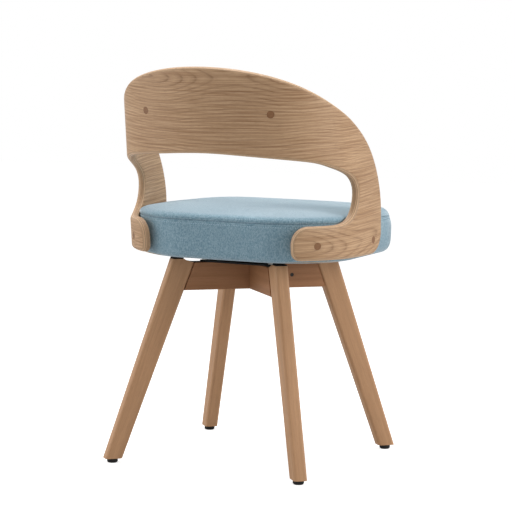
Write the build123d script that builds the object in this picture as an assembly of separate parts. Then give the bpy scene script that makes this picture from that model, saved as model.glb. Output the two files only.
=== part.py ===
from build123d import *
from math import copysign, cos, pi, radians, sin, tan
import os

# Swivel dining chair: a bent plywood back and arms round an upholstered seat, turning on four splayed legs.
# Millimetres. The chair faces -Y, +Z is up, and the origin is on the floor under the swivel axis.

# ---------------------------------------------------------------- driving dimensions
# Bent back shell. Seen from above its outer face is a wide arc behind the sitter, a tighter arc round each
# corner and an almost straight arm; the whole bend leans back with height
SHELL_THICKNESS = 16.5
BACK_RADIUS = 313.0
BACK_HALF_ANGLE = 26.0
CORNER_RADIUS = 169.8
CORNER_END_ANGLE = 84.0
ARM_RADIUS = 1220.0
SHELL_BACK_Y = 223.0        # outer face behind the sitter, at the height below
SHELL_BACK_Z = 520.0
SHELL_LEAN_ANGLE = 7.5
NOSE_BEVEL = 3.0            # eased edges of the plywood

# Flat pattern of the right half of the shell: (along the bend from the back's middle, height above the floor)
TOP_MIDDLE_Z = 760.3
WINDOW_MIDDLE_Z = 601.5
TOP_CURVE = ((115, 749.2), (187, 728.4), (273, 687.0), (385.5, 609.0), (423.5, 539.0))
ARM_FRONT_TOP = (429.5, 485)
ARM_FRONT_FOOT = (422.5, 405)
LOBE_BOTTOM_Z = 404.5
LOBE_TOP_Z = 468.5
LOBE_REAR = 159.5
LOBE_SHOULDER = (244, 469.5)
WINDOW_FOOT_CURVE = ((284.5, 474.8), (309.0, 489.5))
WINDOW_FRONT = (327.0, 530.0)
WINDOW_HEAD_CURVE = ((318.5, 548.5), (297.0, 562.5))
WINDOW_CURVE_START = (240, 580.5)
WINDOW_CURVE = ((184, 590.2), (90, 597.5))
LOBE_RADII = (48.0, 16.0, 36.0)     # front foot, rear foot, rear top

# Plugged screw holes in the shell
PLUG_DIAMETER = 14.0
PLUG_DEPTH = 3.0
SCREW_HEAD_DIAMETER = 12.0
SCREW_HEAD_HEIGHT = 3.0
SCREW_DIAMETER = 6.0
HOLE_CLEARANCE = 0.25
ARM_SCREWS = ((210.0, 432.7), (383.0, 433.5))   # along the bend, height
PAD_SCREWS = ((130.6, 676.0),)
ARM_SCREW_REACH = 25.5      # how far the screws go past the inside of the shell
PAD_SCREW_REACH = 3.5
ARM_SCREW_LENGTH = SHELL_THICKNESS - PLUG_DEPTH - SCREW_HEAD_HEIGHT + ARM_SCREW_REACH
PAD_SCREW_LENGTH = SHELL_THICKNESS - PLUG_DEPTH - SCREW_HEAD_HEIGHT + PAD_SCREW_REACH
INSERT_DIAMETER = 9.0
INSERT_LENGTH = 15.0
WASHER_DIAMETER = 22.0
WASHER_THICKNESS = 2.5
WASHER_GAP = 0.5            # between the arm's curved inside and the flat washer

# Back pad, hung on the inside of the shell
PAD_THICKNESS = 22.0
PAD_MARGIN = 17.0           # inside the panel's top edge
PAD_BOTTOM_Z = 622.0
PAD_HALF_LENGTH = 246.0
PAD_BOARD_THICKNESS = 6.0
PAD_BOARD_HALF_LENGTH = 190.0
PAD_BOARD_Z = (644.0, 706.0)
PAD_CLEARANCE = 0.3

# Seat cushion: a rounded square in plan
SEAT_HALF_WIDTH = 224.0
SEAT_REAR = 165.0
SEAT_FRONT = -256.0
SEAT_REAR_RADIUS = 135.0
SEAT_FRONT_RADIUS = 125.0
SEAT_BOTTOM_Z = 397.0
SEAM_Z = 471.5
SIDE_PROFILE = (            # (height, inset) up the side
    (397.0, 17.0), (400.5, 8.5), (407.0, 3.2), (420.0, 0.6), (444.0, 0.0), (462.0, 0.3), (471.5, 2.6),
)
TOP_PROFILE = ((471.5, 2.6), (475.0, 3.0), (479.0, 8.0), (482.5, 22.0), (486.5, 55.0), (489.5, 108.0))
LIP_INSET = 26.0            # how far the side band turns in under the board
BOARD_INSET = 15.0
BOARD_THICKNESS = 12.0
FRAME_INSET = 12.0
FRAME_WIDTH = 30.0
FRAME_HEIGHT = 42.0
DUST_COVER_THICKNESS = 1.0
ARM_GAP = 0.4               # between the pressed-in cushion and the inside of the arm
ARM_RECESS_LENGTH = 436.0   # along the bend, just past the arm's front edge
ARM_RECESS_TOP_Z = 479.0

# Swivel unit
PLATE_SIZE = 158.0
PLATE_CORNER = 7.0
PLATE_THICKNESS = 3.0
PLATE_GAP = 9.0             # between the two flanges
PRESSING_RADIUS = 60.0
PRESSING_HEIGHT = 1.2
PRESSING_SLOPE = 3.0
RING_OUTER = 52.0
RING_INNER = 42.0
TURN_CLEARANCE = 0.3
RIVET_RADIUS = 8.0
RIVET_HEAD_RADIUS = 13.0
RIVET_HEAD_THICKNESS = 0.9
PLATE_SCREW_INSET = 8.2893  # from each of the two edges at a corner
PLATE_SCREW_REACH = (PLATE_SIZE / 2 - PLATE_SCREW_INSET) * 2 ** 0.5   # from the axis, along the diagonals
PLATE_SCREW_DIAMETER = 5.0
PLATE_SCREW_HEAD = (9.5, 2.4)
LOWER_SCREW_LENGTH = 24.0
UPPER_SCREW_LENGTH = 13.0

# Base: four leaning legs on the diagonals, joined by two crossing rails
BASE_TURN = -2.5            # the base is turned this much under the seat, as it was photographed
WOOD_THICKNESS = 26.0
RAIL_TOP_Z = 383.0
RAIL_DEPTH = 53.6
LEG_TOP_Z = 390.0
LEG_FOOT_Z = 8.5
LEG_FOOT_OUTER = 299.0      # distances from the axis where the leg's faces meet the floor
LEG_FOOT_INNER = 265.7
LEG_TOP_OUTER = 166.9       # and at the leg's top
LEG_TOP_INNER = 120.4
LEG_ROUNDING = 6.0
RAIL_EASING = 1.0
LEG_SCOOP_END = 144.0       # the leg's top falls in a hollow from here to the rail's top
STUD_Z = 354.5
STUD_DIAMETER = 5.0
STUD_REACH = (60.0, 166.0)
BARREL_NUT_REACH = 74.0
UPPER_NUT_SIDE = -1         # the side of the upper rail's nuts, looking outwards: 1 left, -1 right
BARREL_NUT_DIAMETER = 8.0
BARREL_NUT_LENGTH = 18.0
BARREL_NUT_INSET = 0.6      # below the one face of the rail it shows in
DOWEL_DIAMETER = 8.0
DOWEL_OFFSET = 17.5         # above and below the stud
DOWEL_HALF_LENGTH = 18.0
LEG_PAD_THICKNESS = 2.0
LEG_PAD_INSET = 2.0
GLIDE_CENTRE = 279.6
GLIDE_DIAMETER = 21.0
GLIDE_BASE_DIAMETER = 17.0
GLIDE_TAPER_Z = 2.2
GLIDE_SIDES = 16
NAIL_DIAMETER = 2.6
NAIL_LENGTH = 20.0
NAIL_CLEARANCE = 0.05

# ---------------------------------------------------------------- derived sizes
LEAN = tan(radians(SHELL_LEAN_ANGLE))
PLATE_HOLE_DIAMETER = PLATE_SCREW_DIAMETER + 2 * NAIL_CLEARANCE
LOWER_PLATE_TOP = RAIL_TOP_Z + PLATE_THICKNESS
UPPER_PLATE_BOTTOM = LOWER_PLATE_TOP + PLATE_GAP
UPPER_PLATE_TOP = UPPER_PLATE_BOTTOM + PLATE_THICKNESS
BOARD_Z = UPPER_PLATE_TOP + DUST_COVER_THICKNESS
BOARD_TOP = BOARD_Z + BOARD_THICKNESS
FRAME_TOP = BOARD_TOP + FRAME_HEIGHT
RAIL_BOTTOM_Z = RAIL_TOP_Z - RAIL_DEPTH
DIAGONALS = {"rear_left": 45.0, "rear_right": 135.0, "front_right": 225.0, "front_left": 315.0}
SIDES = (1, -1)
BLANK_LENGTH = 480.0        # half the length of the bent blank
HIDDEN_SIDES = 8            # hidden shanks and their holes are prisms, to keep the facets few
BLANK_MARGIN = 25.0
LEAN_ROOM = 60.0            # how far a leaning blank runs past its level ends
CORNER_FLATS = 12           # flats in each of the seat's rounded corners
RING_SIDES = 24

nodes = {}


# ---------------------------------------------------------------- shell geometry
def plan_arcs():
    """The bend seen along its lean: (start, start angle, radius, centre) of each arc, from the back forwards."""
    arcs, start, angle, centre = [], 0.0, 0.0, (0.0, -BACK_RADIUS)
    bends = (
        (BACK_RADIUS, radians(BACK_HALF_ANGLE)), (CORNER_RADIUS, radians(CORNER_END_ANGLE)), (ARM_RADIUS, pi),
    )
    for (radius, end_angle), (next_radius, _) in zip(bends, (*bends[1:], bends[-1])):
        arcs.append((start, angle, radius, centre))
        start += radius * (end_angle - angle)
        angle = end_angle
        shift = radius - next_radius
        centre = (centre[0] + shift * sin(angle), centre[1] + shift * cos(angle))
    return arcs


PLAN_ARCS = plan_arcs()


def in_plan(along, depth):
    """Place along the bend at a depth inside the outer face, seen along the lean. Positive is the -X side."""
    start, angle, radius, centre = [arc for arc in PLAN_ARCS if arc[0] <= abs(along)][-1]
    turn = angle + (abs(along) - start) / radius
    x = centre[0] + (radius - depth) * sin(turn)
    return (-x if along > 0 else x), centre[1] + (radius - depth) * cos(turn)


def on_shell(along, z, depth=0.0):
    """Point of the flat pattern bent onto the shell, at a depth inside the outer face."""
    x, y = in_plan(along, depth)
    back = SHELL_BACK_Y + LEAN * (z - SHELL_BACK_Z)
    return Vector(x, back + y / cos(radians(SHELL_LEAN_ANGLE)), z)


def bent_slab(z_low, z_high, depth_outer, depth_inner, half_length):
    """Piece of the bend between two depths inside the shell's outer face, with level ends."""
    bends = sorted(way * arc[0] for arc in PLAN_ARCS[1:] for way in SIDES)
    places = [-half_length, *(p for p in bends if abs(p) < half_length), half_length]
    edges = []
    for depth in (depth_outer, depth_inner):
        for a, b in zip(places, places[1:]):
            edges.append(ThreePointArc(*(in_plan(p, depth) for p in (a, (a + b) / 2, b))))
    for end in (-half_length, half_length):
        edges.append(Line(in_plan(end, depth_outer), in_plan(end, depth_inner)))
    height = z_high - z_low
    section = Pos(0, 0, z_low - SHELL_BACK_Z - LEAN_ROOM) * make_face(edges)
    slab = extrude(section, height + 3 * LEAN_ROOM)
    leaning = Plane((0, SHELL_BACK_Y, SHELL_BACK_Z), x_dir=(1, 0, 0), z_dir=(0, LEAN, 1)) * slab
    return leaning & Pos(0, 0, z_low + height / 2) * Box(3 * BLANK_LENGTH, 3 * BLANK_LENGTH, height)


class Stretch:
    """One edge of a flat outline, with its direction of travel and its number of spans on the bend."""

    def __init__(self, edge, backwards, spans):
        self.edge, self.backwards, self.spans = edge, backwards, spans

    def at(self, share):
        share = 1 - share if self.backwards else share
        return self.edge.position_at(share)

    def heading(self, share):
        if self.backwards:
            return self.edge.tangent_at(1 - share) * -1
        return self.edge.tangent_at(share)


def chained(edges, start, span_length):
    """The edges put in order from the start point, each divided by how far it runs and turns."""
    chain, here, left = [], Vector(*start), list(edges)
    while left:
        edge = min(left, key=lambda e: min((e @ 0 - here).length, (e @ 1 - here).length))
        left.remove(edge)
        backwards = (edge @ 1 - here).length < (edge @ 0 - here).length
        turn = (edge % 0).get_angle(edge % 1)
        spans = max(2, round(edge.length / span_length), round(turn / 22.5))
        chain.append(Stretch(edge, backwards, spans))
        here = edge @ 0 if backwards else edge @ 1
    return chain


def bent_edge(stretch, side, offset, depth):
    """A stretch of the outline, moved outwards by an offset and bent onto the shell at a depth."""

    def bent(share, step=0.0):
        p, h = stretch.at(share), stretch.heading(share)
        x = p.X + h.X * step - h.Y * offset
        z = p.Y + h.Y * step + h.X * offset
        return on_shell(side * x, z, depth)

    points = [bent(i / stretch.spans) for i in range(stretch.spans + 1)]
    tangents = [(bent(share, 0.5) - bent(share, -0.5)).normalized() for share in (0, 1)]
    return Edge.make_spline(points, tangents=tangents)


def bent_plate(half_outline, profile, blank):
    """Cut a blank to a mirrored flat outline. The profile gives the edge's (offset, depth) points."""
    strips = []
    for side in SIDES:
        for stretch in half_outline:
            rails = [bent_edge(stretch, side, offset, depth) for offset, depth in profile]
            strips += [Face.make_surface_from_curves(a, b) for a, b in zip(rails, rails[1:])]
    pieces = blank.split(Shell(strips), keep=Keep.ALL)
    return min(pieces, key=lambda piece: piece.bounding_box().size.Z)


def shell_outline():
    """Right half of the back shell: top edge, arm, lobe beside the seat and the open window."""
    hook = FilletPolyline(
        ARM_FRONT_TOP, ARM_FRONT_FOOT, (LOBE_REAR, LOBE_BOTTOM_Z), (LOBE_REAR, LOBE_TOP_Z), LOBE_SHOULDER,
        radius=list(LOBE_RADII),
    )
    arm_heading = (Vector(*ARM_FRONT_FOOT) - Vector(*ARM_FRONT_TOP)).normalized()
    shoulder_heading = (Vector(*LOBE_SHOULDER) - Vector(LOBE_REAR, LOBE_TOP_Z)).normalized()
    window_heading = (Vector(*WINDOW_CURVE_START) - Vector(*WINDOW_HEAD_CURVE[-1])).normalized()
    up, back = (0, 1), (-1, 0)
    curves = (
        ((0, TOP_MIDDLE_Z), *TOP_CURVE, ARM_FRONT_TOP), ((1, 0), arm_heading),
        (LOBE_SHOULDER, *WINDOW_FOOT_CURVE, WINDOW_FRONT), (shoulder_heading, up),
        (WINDOW_FRONT, *WINDOW_HEAD_CURVE, WINDOW_CURVE_START), (up, window_heading),
        (WINDOW_CURVE_START, *WINDOW_CURVE, (0, WINDOW_MIDDLE_Z)), (window_heading, back),
    )
    edges = [*hook.edges()]
    for points, tangents in zip(curves[::2], curves[1::2]):
        edges += Spline(*points, tangents=tangents).edges()
    return chained(edges, (0, TOP_MIDDLE_Z), 62.0)


def pad_outline():
    """Right half of the back pad, inside the panel's own outline."""
    end = PAD_HALF_LENGTH
    top = [(0, TOP_MIDDLE_Z - PAD_MARGIN)] + [(x, z - PAD_MARGIN - 1.5) for x, z in TOP_CURVE[:2]]
    fall = (0.86, -0.51)
    shoulder = (end - 26, TOP_CURVE[2][1] + 7.0)
    edges = [
        *Spline(*top, shoulder, tangents=[(1, 0), fall]).edges(),
        *FilletPolyline(
            shoulder, (shoulder[0] + fall[0] * 30, shoulder[1] + fall[1] * 30), (end, PAD_BOTTOM_Z),
            (0, PAD_BOTTOM_Z), radius=[14.0, 16.0],
        ).edges(),
    ]
    return chained(edges, (0, top[0][1]), 62.0)


# ---------------------------------------------------------------- fasteners in the shell
def bore_plane(along, z, side):
    """Plane on the shell's outer face whose Z points straight into the wood."""
    tangent = on_shell(side * along + 1, z) - on_shell(side * along - 1, z)
    return Plane(on_shell(side * along, z), z_dir=Vector(0, LEAN, 1).cross(tangent))


def shank(diameter, length):
    """Hidden hardware: a many-sided prism up from the origin."""
    return extrude(RegularPolygon(diameter / 2, HIDDEN_SIDES), length)


def rod(plane, diameter, start, length):
    """Cylinder along a bore, from a start depth."""
    return plane * Pos(0, 0, start) * Cylinder(
        diameter / 2, length, align=(Align.CENTER, Align.CENTER, Align.MIN)
    )


def hidden_rod(plane, diameter, start, length):
    """The same for a shank or hole that nothing shows."""
    return plane * Pos(0, 0, start) * shank(diameter, length)


def shell_bores(places):
    """Counterbores and through holes for a list of screw places, on both sides."""
    cuts = []
    head_room = PLUG_DEPTH + SCREW_HEAD_HEIGHT
    for plane in (bore_plane(*place, side) for place in places for side in SIDES):
        cuts.append(rod(plane, PLUG_DIAMETER, -1.0, head_room + 1.0))
        cuts.append(hidden_rod(plane, SCREW_DIAMETER + 2 * HOLE_CLEARANCE, 0, SHELL_THICKNESS + 1))
    return cuts


def screw_bodies(places, length):
    """Flat-headed machine screws below their plugs."""
    screws = []
    for plane in (bore_plane(*place, side) for place in places for side in SIDES):
        head = hidden_rod(plane, SCREW_HEAD_DIAMETER, PLUG_DEPTH, SCREW_HEAD_HEIGHT)
        screws.append(head + hidden_rod(plane, SCREW_DIAMETER, PLUG_DEPTH + SCREW_HEAD_HEIGHT, length))
    return screws


def plug_bodies(places, blank):
    """Wooden plugs, dressed flush with the curved outer face."""
    return [
        rod(bore_plane(*place, side), PLUG_DIAMETER, -1.0, PLUG_DEPTH + 1.0) & blank
        for place in places for side in SIDES
    ]


# ---------------------------------------------------------------- seat geometry
def seat_ring(inset, z):
    """Points of the seat's rounded-square outline, drawn in by an inset. Each corner is many short flats."""
    half = SEAT_HALF_WIDTH - inset
    rear, front = SEAT_REAR - inset, SEAT_FRONT + inset
    corners = ((half, rear, SEAT_REAR_RADIUS), (-half, rear, SEAT_REAR_RADIUS))
    corners += ((-half, front, SEAT_FRONT_RADIUS), (half, front, SEAT_FRONT_RADIUS))
    ring = []
    for number, (x, y, full_radius) in enumerate(corners):
        radius = full_radius - inset
        middle = Vector(x - copysign(radius, x), y - copysign(radius, y), z)
        for step in range(CORNER_FLATS + 1):
            angle = radians(90 * (number + step / CORNER_FLATS))
            ring.append(middle + Vector(radius * cos(angle), radius * sin(angle)))
    return ring


def seat_plan(inset, z):
    """The seat's outline as a face at a height."""
    return make_face(Polyline(*seat_ring(inset, z), close=True))


def seat_form(profile):
    """Solid through the seat's outline at each (height, inset) of a side profile."""
    rings = [seat_ring(inset, z) for z, inset in profile]
    sides = [
        make_face(Polyline(low[k - 1], low[k], high[k], high[k - 1], close=True)).face()
        for low, high in zip(rings, rings[1:]) for k in range(len(low))
    ]
    ends = [seat_plan(inset, z).face() for z, inset in (profile[0], profile[-1])]
    return Solid(Shell([*sides, *ends]))


def seat_prism(inset, z_low, z_high):
    """Straight-sided block with the seat's outline."""
    return extrude(seat_plan(inset, z_low), z_high - z_low, dir=(0, 0, 1))


def arm_recess():
    """Where the arms press into the cushion's sides."""
    return bent_slab(SEAT_BOTTOM_Z - 5, ARM_RECESS_TOP_Z, -30.0, SHELL_THICKNESS + ARM_GAP, ARM_RECESS_LENGTH)


# ---------------------------------------------------------------- seat body
def make_shell():
    low, high = LOBE_BOTTOM_Z - BLANK_MARGIN, TOP_MIDDLE_Z + BLANK_MARGIN
    blank = bent_slab(low, high, 0, SHELL_THICKNESS, BLANK_LENGTH)
    reach = 3.0
    nose = (
        (-NOSE_BEVEL - reach, -reach),
        (0, NOSE_BEVEL),
        (0, SHELL_THICKNESS - NOSE_BEVEL),
        (-NOSE_BEVEL - reach, SHELL_THICKNESS + reach),
    )
    shell = bent_plate(shell_outline(), nose, blank)
    for cut in shell_bores(ARM_SCREWS + PAD_SCREWS):
        shell = shell - cut
    nodes["back_shell"] = [shell]
    nodes["back_plugs"] = plug_bodies(PAD_SCREWS, blank)
    nodes["arm_plugs"] = plug_bodies(ARM_SCREWS, blank)


def make_back_pad():
    """Upholstered pad inside the back, on a bent board with threaded inserts."""
    back = SHELL_THICKNESS + PAD_CLEARANCE
    front = back + PAD_THICKNESS
    blank = bent_slab(
        PAD_BOTTOM_Z - BLANK_MARGIN, TOP_MIDDLE_Z + BLANK_MARGIN, back, front, PAD_HALF_LENGTH + BLANK_MARGIN
    )
    edge = ((-2.0, back - 2.0), (0, back + 6.0), (-12.0, front + 2.0))
    pad = bent_plate(pad_outline(), edge, blank)
    board_back = back + 1.5
    board = bent_slab(*PAD_BOARD_Z, board_back, board_back + PAD_BOARD_THICKNESS, PAD_BOARD_HALF_LENGTH)
    pad = pad - board
    inserts = []
    for side in SIDES:
        plane = bore_plane(*PAD_SCREWS[0], side)
        hole = hidden_rod(plane, INSERT_DIAMETER, board_back, PAD_BOARD_THICKNESS + 2.0)
        pad = pad - hole - hidden_rod(plane, SCREW_DIAMETER + 2 * HOLE_CLEARANCE, 0, front - 6.0)
        board = board - hole - hidden_rod(plane, SCREW_DIAMETER + 2 * HOLE_CLEARANCE, 0, front)
        inserts.append(hole - hidden_rod(plane, SCREW_DIAMETER + HOLE_CLEARANCE, 0, front))
    nodes["back_pad"] = [pad]
    nodes["back_pad_board"] = [board]
    nodes["back_pad_inserts"] = inserts
    nodes["back_pad_screws"] = screw_bodies(PAD_SCREWS, PAD_SCREW_LENGTH)


def make_seat():
    recess = arm_recess()
    board = seat_prism(BOARD_INSET, BOARD_Z, BOARD_TOP)
    ring = seat_prism(FRAME_INSET, BOARD_TOP, FRAME_TOP) - seat_prism(
        FRAME_INSET + FRAME_WIDTH, BOARD_TOP - 1, FRAME_TOP + 1
    )
    foam = seat_prism(FRAME_INSET + FRAME_WIDTH, BOARD_TOP, FRAME_TOP)
    foam = foam + seat_prism(FRAME_INSET, FRAME_TOP, SEAM_Z)
    band = seat_form(SIDE_PROFILE) - seat_prism(FRAME_INSET, BOARD_TOP, SEAM_Z + 1)
    band = band - board - seat_prism(LIP_INSET, SEAT_BOTTOM_Z - 1, BOARD_Z)
    top = seat_form(TOP_PROFILE)
    dust_cover = seat_prism(LIP_INSET, UPPER_PLATE_TOP, BOARD_Z)
    ring, foam, band, top = (piece - recess for piece in (ring, foam, band, top))

    inserts, washers = [], []
    lobe_inside = SHELL_THICKNESS + ARM_GAP
    for place in ARM_SCREWS:
        for side in SIDES:
            plane = bore_plane(*place, side)
            frame_start = lobe_inside + FRAME_INSET + 3.0
            insert_hole = hidden_rod(plane, INSERT_DIAMETER, frame_start, INSERT_LENGTH)
            screw_way = hidden_rod(plane, SCREW_DIAMETER + 2 * HOLE_CLEARANCE, 0, ARM_SCREW_LENGTH + 10)
            approach = hidden_rod(plane, INSERT_DIAMETER, lobe_inside - 1, frame_start - lobe_inside + 1)
            washer = hidden_rod(plane, WASHER_DIAMETER, SHELL_THICKNESS + WASHER_GAP, WASHER_THICKNESS)
            pocket_end = SHELL_THICKNESS + WASHER_THICKNESS + 2 * WASHER_GAP
            pocket = hidden_rod(plane, WASHER_DIAMETER + 2 * WASHER_GAP, 0, pocket_end)
            washers.append(washer - screw_way)
            inserts.append(insert_hole - hidden_rod(plane, SCREW_DIAMETER + HOLE_CLEARANCE, 0, 80))
            ring = ring - insert_hole - screw_way - approach - pocket
            band = band - screw_way - insert_hole - approach - pocket
            foam = foam - screw_way
    for x, y in plate_corners():
        hole = Pos(x, y, UPPER_PLATE_BOTTOM) * shank(PLATE_HOLE_DIAMETER, UPPER_SCREW_LENGTH)
        dust_cover = dust_cover - hole
        board = board - hole
    nodes["seat_board"] = [board]
    nodes["seat_frame"] = [ring]
    nodes["seat_foam"] = [foam]
    nodes["seat_side_band"] = [band]
    nodes["seat_top_cover"] = [top]
    nodes["dust_cover"] = [dust_cover]
    nodes["arm_inserts"] = inserts
    nodes["arm_washers"] = washers
    nodes["arm_screws"] = screw_bodies(ARM_SCREWS, ARM_SCREW_LENGTH)


# ---------------------------------------------------------------- swivel unit
def plate_corners():
    """Screw places on the plate's diagonals."""
    angles = [radians(45 + 90 * k) for k in range(4)]
    return [(PLATE_SCREW_REACH * cos(a), PLATE_SCREW_REACH * sin(a)) for a in angles]


def swivel_plate(bottom, pressing):
    """Square steel flange with a round middle pressed up or down by the given height."""
    top = bottom + PLATE_THICKNESS
    outline = Pos(0, 0, bottom) * RectangleRounded(PLATE_SIZE, PLATE_SIZE, PLATE_CORNER)
    plate = extrude(outline, PLATE_THICKNESS)
    raised, hollow = [
        loft([
            Pos(0, 0, z) * RegularPolygon(PRESSING_RADIUS, RING_SIDES),
            Pos(0, 0, z + pressing) * RegularPolygon(PRESSING_RADIUS - PRESSING_SLOPE, RING_SIDES),
        ], ruled=True)
        for z in ((top, bottom) if pressing > 0 else (bottom, top))
    ]
    bore = Pos(0, 0, bottom) * Cylinder(RIVET_RADIUS + TURN_CLEARANCE, 4 * PLATE_THICKNESS)
    return plate + raised - hollow - bore


def plate_screws(face, length, way):
    """Pan-head screws with their heads on a face, running up (1) or down (-1) from it."""
    head_diameter, head_height = PLATE_SCREW_HEAD
    screws = []
    for x, y in plate_corners():
        head = Pos(x, y, face - max(way, 0) * head_height) * shank(head_diameter, head_height)
        screws.append(head + Pos(x, y, face + min(way, 0) * length) * shank(PLATE_SCREW_DIAMETER, length))
    return screws


def make_swivel():
    lower = swivel_plate(RAIL_TOP_Z, PRESSING_HEIGHT)
    upper = swivel_plate(UPPER_PLATE_BOTTOM, -PRESSING_HEIGHT)
    for x, y in plate_corners():
        hole = Pos(x, y, RAIL_TOP_Z) * shank(PLATE_HOLE_DIAMETER, UPPER_PLATE_TOP - RAIL_TOP_Z)
        lower = lower - hole
        upper = upper - hole
    lower_top = LOWER_PLATE_TOP + PRESSING_HEIGHT
    upper_bottom = UPPER_PLATE_BOTTOM - PRESSING_HEIGHT
    ring_height = upper_bottom - lower_top - TURN_CLEARANCE
    ring_plan = RegularPolygon(RING_OUTER, RING_SIDES) - RegularPolygon(RING_INNER, RING_SIDES)
    ring = extrude(Pos(0, 0, lower_top) * ring_plan, ring_height)
    shaft_low = RAIL_TOP_Z + PRESSING_HEIGHT - RIVET_HEAD_THICKNESS
    upper_web_top = UPPER_PLATE_TOP - PRESSING_HEIGHT
    head_low = upper_web_top + 0.5 * TURN_CLEARANCE
    shaft_high = head_low + RIVET_HEAD_THICKNESS - 0.15
    shaft = Pos(0, 0, (shaft_low + shaft_high) / 2) * Cylinder(RIVET_RADIUS, shaft_high - shaft_low)
    foot = Pos(0, 0, shaft_low) * shank(2 * RIVET_HEAD_RADIUS, RIVET_HEAD_THICKNESS)
    head = Pos(0, 0, head_low) * shank(2 * RIVET_HEAD_RADIUS, shaft_high - head_low)
    nodes["swivel_upper_plate"] = [upper]
    nodes["upper_plate_screws"] = plate_screws(UPPER_PLATE_BOTTOM, UPPER_SCREW_LENGTH, 1)
    nodes["swivel_lower_plate"] = [turned(lower)]
    nodes["lower_plate_screws"] = [turned(s) for s in plate_screws(LOWER_PLATE_TOP, LOWER_SCREW_LENGTH, -1)]
    nodes["bearing_ring"] = [turned(ring)]
    nodes["centre_rivet"] = [turned(shaft + foot + head)]


# ---------------------------------------------------------------- base body
def turned(piece):
    """Turn a piece of the base to where it was photographed."""
    return Rot(0, 0, BASE_TURN) * piece


def leg_radius(z, at_floor, at_top):
    """Distance of a leg's face from the axis at a height."""
    return at_floor + (at_top - at_floor) * z / LEG_TOP_Z


def leg_section(z_low, z_high, inset=0.0):
    """Side view of a leg between two heights, in the plane through the axis."""
    points = [
        (leg_radius(z_low, LEG_FOOT_INNER, LEG_TOP_INNER) + inset, z_low),
        (leg_radius(z_low, LEG_FOOT_OUTER, LEG_TOP_OUTER) - inset, z_low),
        (leg_radius(z_high, LEG_FOOT_OUTER, LEG_TOP_OUTER) - inset, z_high),
        (leg_radius(z_high, LEG_FOOT_INNER, LEG_TOP_INNER) + inset, z_high),
    ]
    return Plane.XZ * make_face(Polyline(*points, close=True))


def inner_face(z):
    """Distance of a leg's inner face from the axis at a height."""
    return leg_radius(z, LEG_FOOT_INNER, LEG_TOP_INNER)


def level_rod(x_start, x_end, z, diameter):
    """Hidden bar along X between two distances from the axis."""
    return Pos(x_start, 0, z) * Rot(0, 90, 0) * shank(diameter, x_end - x_start)


def joint_dowels():
    """The two wooden dowels between a rail's end and its leg."""
    heights = (STUD_Z - DOWEL_OFFSET, STUD_Z + DOWEL_OFFSET)
    return [
        level_rod(inner_face(z) - DOWEL_HALF_LENGTH, inner_face(z) + DOWEL_HALF_LENGTH, z, DOWEL_DIAMETER)
        for z in heights
    ]


def joint_stud(clearance=0.0):
    """Threaded stud from the leg through the rail's end into the barrel nut."""
    return level_rod(*STUD_REACH, STUD_Z, STUD_DIAMETER + 2 * clearance)


def nut_rod(side, inset):
    """Bar across the rail from just inside its face on one side, where the barrel nut sits."""
    face = Plane((BARREL_NUT_REACH, side * (WOOD_THICKNESS / 2 - inset), STUD_Z), z_dir=(0, -side, 0))
    return face * shank(BARREL_NUT_DIAMETER, BARREL_NUT_LENGTH - inset)


def barrel_nut(side):
    """Cross nut that the stud screws into."""
    return nut_rod(side, BARREL_NUT_INSET) - joint_stud(NAIL_CLEARANCE)


def make_leg():
    """Leg on the +X axis: a leaning tapered board, hollow at its top, with holes for its joint and glide."""
    leg = extrude(leg_section(LEG_FOOT_Z, LEG_TOP_Z), WOOD_THICKNESS / 2, both=True)
    long_edges = leg.edges().filter_by(lambda e: e.length > LEG_TOP_Z / 2)
    leg = fillet(long_edges, LEG_ROUNDING)
    low, high = (inner_face(RAIL_TOP_Z) - 4, RAIL_TOP_Z), (LEG_SCOOP_END, LEG_TOP_Z)
    scoop = Spline(low, high, tangents=[(1, 0), (0.8, 0.6)])
    above = Polyline(high, (high[0], high[1] + 5), (low[0], high[1] + 5), low)
    hollow = extrude(Plane.XZ * make_face([*scoop.edges(), *above.edges()]), WOOD_THICKNESS, both=True)
    leg = leg - hollow - joint_stud()
    for dowel in joint_dowels():
        leg = leg - dowel
    return leg - glide_nail(NAIL_CLEARANCE)


def make_rail(lap_from_top, nut_side):
    """Rail along X with splayed ends, holes for its joints and screws, and half a lap at the crossing."""
    ends = [(way * inner_face(z), z) for way, z in (
        (1, RAIL_BOTTOM_Z), (1, RAIL_TOP_Z), (-1, RAIL_TOP_Z), (-1, RAIL_BOTTOM_Z)
    )]
    rail = extrude(Plane.XZ * make_face(Polyline(*ends, close=True)), WOOD_THICKNESS / 2, both=True)
    rail = chamfer(rail.edges().filter_by(Axis.X), RAIL_EASING)
    lap_z = RAIL_TOP_Z if lap_from_top else RAIL_BOTTOM_Z
    rail = rail - Pos(0, 0, lap_z) * Box(WOOD_THICKNESS, WOOD_THICKNESS * 2, RAIL_DEPTH)
    pilot_low = LOWER_PLATE_TOP - LOWER_SCREW_LENGTH
    pilot = Pos(PLATE_SCREW_REACH, 0, pilot_low) * shank(PLATE_HOLE_DIAMETER, LOWER_SCREW_LENGTH)
    for hole in (pilot, nut_rod(nut_side, 0), joint_stud(HOLE_CLEARANCE), *joint_dowels()):
        rail = rail - hole - Rot(0, 0, 180) * hole
    return rail


def glide_nail(clearance=0.0):
    """Nail that holds a glide, from inside the glide up into the leg."""
    return Pos(GLIDE_CENTRE, 0, LEG_FOOT_Z / 2) * shank(NAIL_DIAMETER + 2 * clearance, NAIL_LENGTH)


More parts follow.
